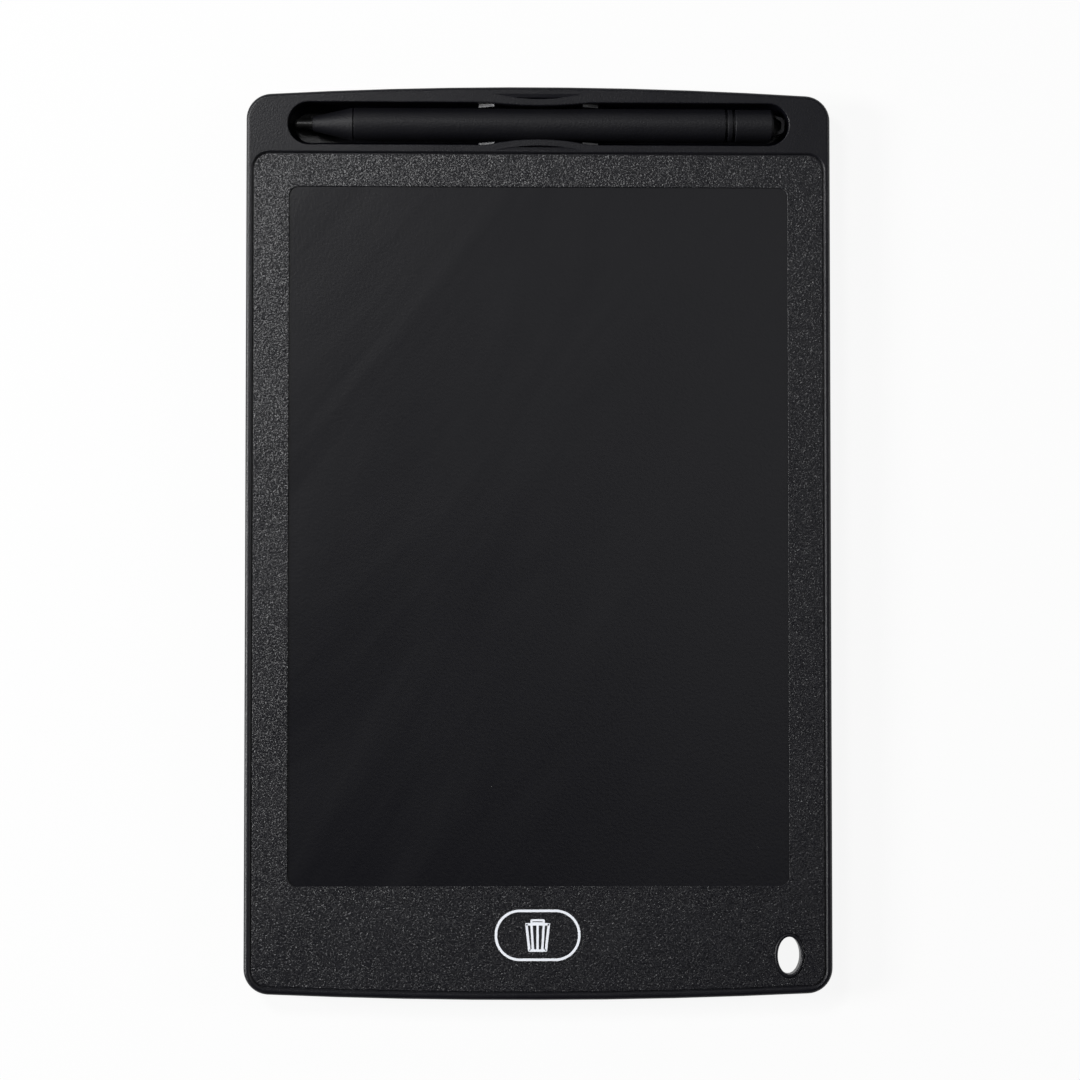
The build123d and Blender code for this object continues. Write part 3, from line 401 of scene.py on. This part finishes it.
# %% Shared effect: rounded and worn edges
BEVEL_SAMPLES = 6
EDGE_START = 0.995
EDGE_FULL = 0.85
WEAR_START = 0.42
WEAR_FULL = 0.62
LEAST_WEAR = 0.15


def edge_wear():
    group, given, result = new_group(
        "edge wear",
        {"Radius mm": 0.12, "Patch mm": 2.0},
        {"Wear": VALUE, "Normal": NORMAL},
    )
    radius = calc(group, "MULTIPLY", given.outputs["Radius mm"], MM)
    rounded = place(group, "ShaderNodeBevel", {"Radius": radius}, samples=BEVEL_SAMPLES).outputs[0]
    flat = place(group, "ShaderNodeNewGeometry").outputs["Normal"]
    both = place(group, "ShaderNodeVectorMath", {0: rounded, 1: flat}, operation="DOT_PRODUCT")
    edge = remap(group, both.outputs["Value"], EDGE_START, EDGE_FULL, 0.0, 1.0)
    scale = per_metre(group, given.outputs["Patch mm"])
    broken = noise(group, own_coordinates(group), scale, detail=4.0)[0]
    patches = remap(group, broken, WEAR_START, WEAR_FULL, LEAST_WEAR, 1.0)
    fill(group, result, {"Wear": calc(group, "MULTIPLY", edge, patches), "Normal": rounded})
    return group


WEAR = edge_wear()
print("shared effect:", WEAR.name)

# %% [markdown]
# Dust and wiping marks are the third effect. A few motes sit on every black surface, so each cell
# of a Voronoi pattern holds one speck of its own size, and only some of them are bright enough to
# show. Long soft streaks, from noise that is stretched along one direction, tell where a hand or a
# cloth has passed.

# %% Shared effect: dust and wiping marks
MOTE_START = 0.55
STREAK_TURN = math.radians(52)
STREAK_SIZE = (110 * MM, 24 * MM, 110 * MM)
STREAK_START = 0.36
STREAK_FULL = 0.66


def dust_and_smudges():
    group, given, result = new_group(
        "dust and smudges",
        {"Spacing mm": 5.0, "Speck share": 0.02},
        {"Dust": VALUE, "Smudge": VALUE},
    )
    own = own_coordinates(group)
    scale = per_metre(group, given.outputs["Spacing mm"])
    cells = place(group, "ShaderNodeTexVoronoi", {
        "Vector": own, "Scale": scale, "Randomness": 1.0,
    }).outputs
    chance = place(group, "ShaderNodeSeparateXYZ", {0: cells["Color"]}).outputs
    reach = calc(group, "MULTIPLY", chance["X"], given.outputs["Speck share"])
    speck = calc(group, "LESS_THAN", cells["Distance"], reach)
    bright = remap(group, chance["Y"], MOTE_START, 1.0, 0.0, 1.0)
    turned = place(group, "ShaderNodeMapping", {
        "Vector": own, "Rotation": (0, 0, STREAK_TURN), "Scale": STREAK_SIZE,
    }, vector_type="TEXTURE").outputs[0]
    streaks = noise(group, turned, 1.0, detail=6.0, roughness=0.62, distortion=0.8)[0]
    smudge = remap(group, streaks, STREAK_START, STREAK_FULL, 0.0, 1.0)
    fill(group, result, {"Dust": calc(group, "MULTIPLY", speck, bright), "Smudge": smudge})
    return group


DUST = dust_and_smudges()
print("shared effect:", DUST.name)

# %% [markdown]
# Most of the tablet is black ABS. One function makes such a plastic from the three effects: the
# grain feeds the bump and a painted shade that darkens its pits, the patches and smudges change the
# roughness, the worn edges are a little lighter and smoother, and a little pale dust lies on top.
# Every finish is stored under the name that the record gives it.

# %% A moulded plastic
FINISHES = {}
DUST_COLOUR = (0.30, 0.29, 0.28, 1.0)
PATCH_LOW = 0.3
PATCH_HIGH = 0.7
SMUDGE_ROUGH = 0.05
EDGE_POLISH = 0.08


def moulded_plastic(
    name, colour, rough, rough_spread=0.08, grain_mm=0.3, bump=0.3, depth_mm=0.03, pit_painted_shade=0.8,
    edge_mm=0.12, edge_lift=1.6, dust=0.02, specular=0.5,
):
    material, tree, shader = new_material(name)
    grain = use_group(tree, GRAIN, {"Grain mm": grain_mm})
    wear = use_group(tree, WEAR, {"Radius mm": edge_mm})
    dirt = use_group(tree, DUST, {"Speck share": dust})
    # Painted shade: the pits of the grain are painted darker.
    skin = blend_colours(tree, grain["Painted pit shade"], times(colour, 1.0), times(colour, pit_painted_shade))
    skin = blend_colours(tree, wear["Wear"], skin, times(colour, edge_lift))
    skin = blend_colours(tree, dirt["Dust"], skin, DUST_COLOUR)
    smoothest, roughest = rough - rough_spread, rough + rough_spread
    polish = remap(tree, grain["Patches"], PATCH_LOW, PATCH_HIGH, smoothest, roughest)
    polish = calc(tree, "ADD", polish, calc(tree, "MULTIPLY", dirt["Smudge"], SMUDGE_ROUGH))
    rubbed = calc(tree, "MULTIPLY", wear["Wear"], EDGE_POLISH)
    fill(tree, shader, {
        "Base Color": skin,
        "Roughness": calc(tree, "SUBTRACT", polish, rubbed, clamp=True),
        "Normal": raised(tree, bump, depth_mm * MM, grain["Height"], wear["Normal"]),
        "Specular IOR Level": specular,
    })
    FINISHES[name] = material
    return tree, shader


print("a plastic is made of", [group.name for group in (GRAIN, WEAR, DUST)])

# %% [markdown]
# The housing is satin black with a fine texture. The keys come from a smoother mould. The stylus
# is duller, with a deeper grain, and its nib is a hard polished plastic.

# %% Black plastics of the housing, keys and stylus
moulded_plastic(
    "housing_plastic", (0.0012, 0.0012, 0.0034), rough=0.38, rough_spread=0.02, grain_mm=0.45,
    bump=1.0, depth_mm=0.05, edge_mm=0.2, specular=0.36,
)
moulded_plastic("key_plastic", (0.004, 0.004, 0.0042), rough=0.38, grain_mm=0.12, bump=0.3)
moulded_plastic(
    "stylus_plastic", (0.003, 0.003, 0.0048), rough=0.52, rough_spread=0.02, grain_mm=0.5,
    bump=1.0, depth_mm=0.08, dust=0.015, specular=0.31,
)
moulded_plastic(
    "nib_plastic", (0.006, 0.006, 0.006), rough=0.34, rough_spread=0.04, bump=0.05, specular=0.8,
)
print("black plastics:", list(FINISHES))

# %% [markdown]
# The film round the screen is printed with a sand-grained varnish. Its grains are close together
# and each leans its own way, so each throws back a flash of its own. A noise gives their height for
# the bump, a second one, with three channels, tips the surface a little to any side, and the tops
# of the grains get a painted highlight: they are painted a trace paler than the ink between them.

# %% Sand-grained film
SAND_MM = 0.45
SAND_DEPTH = 0.08 * MM
PAINTED_HIGHLIGHT_START = 0.44
PAINTED_HIGHLIGHT_FULL = 0.62
PAINTED_HIGHLIGHT_SHARE = 0.8
PAINTED_HIGHLIGHT_COLOUR = (0.003, 0.003, 0.0055, 1.0)
FACET_MM = 0.26
FACET_LEAN = 0.95


def textured_film():
    tree, shader = moulded_plastic(
        "textured_film", (0.0001, 0.0001, 0.0020), rough=0.35, rough_spread=0.01, grain_mm=0.12,
        bump=0.2, dust=0.015, specular=0.61,
    )
    own = own_coordinates(tree)
    grains = noise(tree, own, 1.0 / (SAND_MM * MM), detail=1.0, roughness=0.4)[0]
    # Painted highlight: the tops of the grains are painted paler than the ink between them.
    highlighted_tops = remap(tree, grains, PAINTED_HIGHLIGHT_START, PAINTED_HIGHLIGHT_FULL, 0.0, 1.0)
    highlighted_tops = calc(tree, "MULTIPLY", highlighted_tops, PAINTED_HIGHLIGHT_SHARE)
    with_painted_highlight = blend_colours(tree, highlighted_tops, feeding(shader, "Base Color"), PAINTED_HIGHLIGHT_COLOUR)
    sand = raised(tree, 1.0, SAND_DEPTH, grains, feeding(shader, "Normal"))
    facets = noise(tree, own, 1.0 / (FACET_MM * MM), detail=1.0, roughness=0.4)["Color"]
    lean = combine(tree, "SUBTRACT", facets, (0.5, 0.5, 0.5))
    lean = combine(tree, "MULTIPLY", lean, (FACET_LEAN, FACET_LEAN, FACET_LEAN))
    leaning = combine(tree, "NORMALIZE", combine(tree, "ADD", sand, lean))
    fill(tree, shader, {"Base Color": with_painted_highlight, "Normal": leaning})


textured_film()
print("film with grains of", SAND_MM, "mm and facets of", FACET_MM, "mm")

# %% [markdown]
# The screen is a clear film over a dark layer: smooth, satin, with faint wiping marks that show
# only where the lamp's sheen falls on them. Its colour is nearly black with a trace of blue.

# %% Writing screen
moulded_plastic(
    "screen_film", (0.0002, 0.0002, 0.0020), rough=0.285, rough_spread=0.005, grain_mm=0.7,
    bump=1.0, depth_mm=0.022, pit_painted_shade=0.94, edge_lift=1.0, dust=0.012, specular=0.51,
)
moulded_plastic("screen_backing", (0.004, 0.004, 0.005), rough=0.6, bump=0.1)
print("screen films: screen_film, screen_backing")

# %% [markdown]
# The inside shows only when the battery door is open or a piece is taken out, but it gets its own
# finishes too. Small parts reuse the plastic function with their own colour and grain. The white
# one also serves as the ink of the print on the erase key.

# %% Small plastics and ceramics inside
SMALL_PARTS = {
    "adhesive": dict(colour=(0.012, 0.012, 0.012), rough=0.8, grain_mm=0.6, bump=0.5),
    "component_black": dict(colour=(0.014, 0.014, 0.015), rough=0.55, grain_mm=0.12, bump=0.3),
    "component_white": dict(
        colour=(0.82, 0.845, 0.9), rough=0.45, grain_mm=0.25, bump=0.25, pit_painted_shade=0.96,
        edge_mm=0.02, edge_lift=1.05, dust=0.0,
    ),
    "ferrite": dict(colour=(0.06, 0.06, 0.065), rough=0.5, grain_mm=0.15, bump=0.5),
    "ceramic": dict(
        colour=(0.36, 0.22, 0.11), rough=0.5, grain_mm=0.15, bump=0.3, edge_lift=1.2,
    ),
    "seal_plastic": dict(
        colour=(0.55, 0.55, 0.53), rough=0.4, grain_mm=0.3, bump=0.2, dust=0.0,
    ),
    "cell_filling": dict(colour=(0.03, 0.03, 0.03), rough=0.8, grain_mm=0.1, bump=0.8),
    "ribbon_film": dict(
        colour=(0.42, 0.17, 0.03), rough=0.3, grain_mm=0.5, bump=0.1, dust=0.0,
    ),
}
for name, facts in SMALL_PARTS.items():
    moulded_plastic(name, **facts)
print("small parts:", list(SMALL_PARTS))

# %% [markdown]
# Bent sheet and the coin cell are bare metal. Rolling leaves fine parallel lines, which is noise
# squeezed along one direction, and they change both the roughness and the bump.

# %% Metals
LINE_MM = 0.08
LINE_LENGTH_MM = 6.0
LINE_DEPTH = 0.003 * MM
LINE_BUMP = 0.3
LINE_LOW = 0.3
LINE_HIGH = 0.7
LINE_SMOOTHER = 0.06
LINE_ROUGHER = 0.1
TARNISH_MM = 0.8
TARNISH_SHADE = 0.8
TARNISH_START = 0.4
TARNISH_FULL = 0.6


def rolled_metal(name, colour, rough):
    material, tree, shader = new_material(name)
    wear = use_group(tree, WEAR, {"Radius mm": 0.06})
    grain = use_group(tree, GRAIN, {"Grain mm": TARNISH_MM})
    across = 1 / (LINE_MM * MM)
    stretched = place(tree, "ShaderNodeMapping", {
        "Vector": own_coordinates(tree), "Scale": (1 / (LINE_LENGTH_MM * MM), across, across),
    }).outputs[0]
    lines = noise(tree, stretched, 1.0, detail=2.0)[0]
    dull = remap(tree, grain["Patches"], TARNISH_START, TARNISH_FULL, 0.0, 1.0)
    smoothest, roughest = rough - LINE_SMOOTHER, rough + LINE_ROUGHER
    fill(tree, shader, {
        "Base Color": blend_colours(tree, dull, times(colour, 1.0), times(colour, TARNISH_SHADE)),
        "Roughness": remap(tree, lines, LINE_LOW, LINE_HIGH, smoothest, roughest),
        "Normal": raised(tree, LINE_BUMP, LINE_DEPTH, lines, wear["Normal"]),
        "Metallic": 1.0,
    })
    FINISHES[name] = material


rolled_metal("plated_steel", (0.56, 0.55, 0.52), 0.28)
rolled_metal("cell_steel", (0.62, 0.62, 0.63), 0.24)
print("metals: plated_steel, cell_steel")

# %% [markdown]
# The circuit board is glass cloth under green lacquer. The weave shows as a faint square bump, and
# brighter patches stand for the copper tracks under the lacquer.

# %% Circuit board
WEAVE_MM = 0.9
WEAVE_DEPTH = 0.01 * MM
WEAVE_BUMP = 0.2
TRACK_MM = 1.3
TRACK_DISORDER = 0.35
TRACK_EDGE = 0.46
TRACK_COLOUR = (0.03, 0.15, 0.05, 1.0)


def board_laminate():
    tree, shader = moulded_plastic(
        "board_laminate", (0.012, 0.085, 0.03), rough=0.32, grain_mm=0.4, bump=0.15,
    )
    own = own_coordinates(tree)
    tracks = place(tree, "ShaderNodeTexVoronoi", {
        "Vector": own, "Scale": 1.0 / (TRACK_MM * MM), "Randomness": TRACK_DISORDER,
    }, distance="MANHATTAN").outputs["Distance"]
    copper = calc(tree, "GREATER_THAN", tracks, TRACK_EDGE)
    tinted = blend_colours(tree, copper, feeding(shader, "Base Color"), TRACK_COLOUR)
    cloth = place(tree, "ShaderNodeTexVoronoi", {
        "Vector": own, "Scale": 1.0 / (WEAVE_MM * MM), "Randomness": 0.0,
    }).outputs["Distance"]
    weave = raised(tree, WEAVE_BUMP, WEAVE_DEPTH, cloth, feeding(shader, "Normal"))
    fill(tree, shader, {"Base Color": tinted, "Normal": weave})


board_laminate()
print("board with tracks every", TRACK_MM, "mm")

# %% [markdown]
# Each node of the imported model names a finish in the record. The finish goes in the node's own
# material slots, so the meshes stay untouched.

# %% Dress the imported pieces
def dress(node, finish):
    slots = frame["nodes"][node].data.materials
    if len(slots) == 0:
        slots.append(FINISHES[finish])
    for index in range(len(slots)):
        slots[index] = FINISHES[finish]


for row in frame["record"]["subparts"]:
    dress(row["node"], row["material_slot"])

# %% [markdown]
# White ink is screen-printed on the erase key: a long oval line, and in it a waste bin, the usual
# sign for wiping a screen. Printed ink is a very thin raised layer, so each shape starts as a flat
# face, gets its outline with bevel and inset, and is then extruded by the thickness of the ink. It
# starts a little inside the film, so that no gap shows under it.

# %% Helpers for flat printed shapes
INK_SINK = 0.02 * MM
INK_TOP = 0.03 * MM
INK_STEP = 0.006 * MM
PRINT_SHIFT = -0.28 * MM
ink_z = film_top - INK_SINK
print_x = pad_centre.x + PRINT_SHIFT


def start_face(name, centre_x, centre_y, width, length):
    """A flat face of that size on the key, in edit mode, with nothing else selected."""
    bpy.ops.object.select_all(action="DESELECT")
    bpy.ops.mesh.primitive_plane_add(size=1.0, location=(centre_x, centre_y, ink_z))
    piece = bpy.context.object
    piece.name = name
    piece.scale = (width, length, 1.0)
    bpy.ops.object.transform_apply(location=True, rotation=True, scale=True)
    bpy.ops.object.mode_set(mode="EDIT")
    bpy.ops.mesh.select_all(action="SELECT")
    return piece


def round_corners(radius, steps):
    bpy.ops.mesh.bevel(offset=radius, segments=steps, affect="VERTICES", clamp_overlap=False)


def keep_border(width):
    """Insets the selected face by the width of the line and removes the middle."""
    bpy.ops.mesh.inset(thickness=width)
    bpy.ops.mesh.delete(type="FACE")
    bpy.ops.mesh.select_all(action="SELECT")


def print_ink(piece, steps_down=0):
    """Raises the flat shape to the thickness of the ink; crossing lines differ by a small step."""
    thickness = INK_SINK + INK_TOP - steps_down * INK_STEP
    bpy.ops.mesh.extrude_region_move(TRANSFORM_OT_translate={"value": (0, 0, thickness)})
    bpy.ops.mesh.select_all(action="SELECT")
    bpy.ops.mesh.normals_make_consistent(inside=False)
    bpy.ops.object.mode_set(mode="OBJECT")
    piece.data.materials.append(FINISHES["component_white"])
    return piece


print("ink starts at", round(ink_z / MM, 3), "mm")

# %% [markdown]
# The oval line is a rectangle whose corners are rounded almost to half its height. The inset then
# leaves a border of even width.

# %% Oval line round the key
OVAL_WIDTH = 21.1 * MM
OVAL_HEIGHT = 12.6 * MM
OVAL_LINE = 0.62 * MM
OVAL_CORNER = 6.15 * MM
OVAL_STEPS = 20

oval = start_face("erase_outline", print_x, pad_centre.y, OVAL_WIDTH, OVAL_HEIGHT)
round_corners(OVAL_CORNER, OVAL_STEPS)
keep_border(OVAL_LINE)
print_ink(oval)
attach(oval, "erase_button")
print("oval line:", len(oval.data.polygons), "faces")

# %% [markdown]
# The bin is drawn with lines of one width: a can that narrows downwards, three staves in it, and a
# lid handle with a narrow slit. The can starts as a rectangle, and its lower edge is scaled in. The
# outer staves lean the same way, so their lower ends are moved in by the same share.

# %% Waste bin: can and staves
BIN_TOP_WIDTH = 6.2 * MM
BIN_FOOT_SHARE = 0.75
BIN_HEIGHT = 7.05 * MM
BIN_DROP = 0.52 * MM
BIN_LINE = 0.62 * MM
BIN_CORNER = 0.22 * MM
BIN_CORNER_STEPS = 3
STAVE_WIDTH = 0.57 * MM
STAVE_TOP_SHARE = 0.245
bin_y = pad_centre.y - BIN_DROP


def select_foot(piece):
    """Selects the lower edge of a flat shape that has the bin's middle as its own."""
    bpy.ops.mesh.select_all(action="DESELECT")
    bpy.ops.object.mode_set(mode="OBJECT")
    for vertex in piece.data.vertices:
        vertex.select = vertex.co.y < bin_y
    bpy.ops.object.mode_set(mode="EDIT")


def bin_can():
    can = start_face("can", print_x, bin_y, BIN_TOP_WIDTH, BIN_HEIGHT)
    select_foot(can)
    middle = (print_x, pad_centre.y, ink_z)
    bpy.ops.transform.resize(value=(BIN_FOOT_SHARE, 1, 1), center_override=middle)
    bpy.ops.mesh.select_all(action="SELECT")
    round_corners(BIN_CORNER, BIN_CORNER_STEPS)
    keep_border(BIN_LINE)
    return print_ink(can)


def bin_stave(side):
    """One stave: side is -1 for the left one, 0 for the middle and 1 for the right."""
    top_x = print_x + side * STAVE_TOP_SHARE * BIN_TOP_WIDTH
    foot_x = print_x + (top_x - print_x) * BIN_FOOT_SHARE
    stave = start_face("stave", top_x, bin_y, STAVE_WIDTH, BIN_HEIGHT - BIN_LINE)
    select_foot(stave)
    bpy.ops.transform.translate(value=(foot_x - top_x, 0, 0))
    bpy.ops.mesh.select_all(action="SELECT")
    return print_ink(stave, steps_down=2)


bin_pieces = [bin_can()] + [bin_stave(side) for side in (-1, 0, 1)]
print("bin:", [piece.name for piece in bin_pieces])

# %% [markdown]
# The lid handle is a small rounded bar. Its border is made so wide that only a narrow slit stays
# open in the middle. The sign is one print, so its lines are then joined into one piece.

# %% Waste bin: handle, and all joined
HANDLE_WIDTH = 3.55 * MM
HANDLE_HEIGHT = 1.25 * MM
HANDLE_CORNER = 0.4 * MM
HANDLE_CORNER_STEPS = 4
HANDLE_SLIT = 0.2 * MM


def bin_handle():
    foot_y = bin_y + BIN_HEIGHT / 2 - BIN_LINE / 2
    centre_y = foot_y + HANDLE_HEIGHT / 2
    handle = start_face("handle", print_x, centre_y, HANDLE_WIDTH, HANDLE_HEIGHT)
    round_corners(HANDLE_CORNER, HANDLE_CORNER_STEPS)
    keep_border((HANDLE_HEIGHT - HANDLE_SLIT) / 2)
    return print_ink(handle, steps_down=1)


def join(name, pieces):
    """Makes one object of several, under one name."""
    bpy.ops.object.select_all(action="DESELECT")
    for piece in pieces:
        piece.select_set(True)
    bpy.context.view_layer.objects.active = pieces[0]
    bpy.ops.object.join()
    bpy.context.object.name = name
    return bpy.context.object


bin_sign = join("bin_sign", bin_pieces + [bin_handle()])
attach(bin_sign, "erase_button")
print("bin sign:", len(bin_sign.data.polygons), "faces")

# %% [markdown]
# The picture is shown without any film look.

# %% Finish
bpy.context.scene.view_settings.view_transform = "Standard"
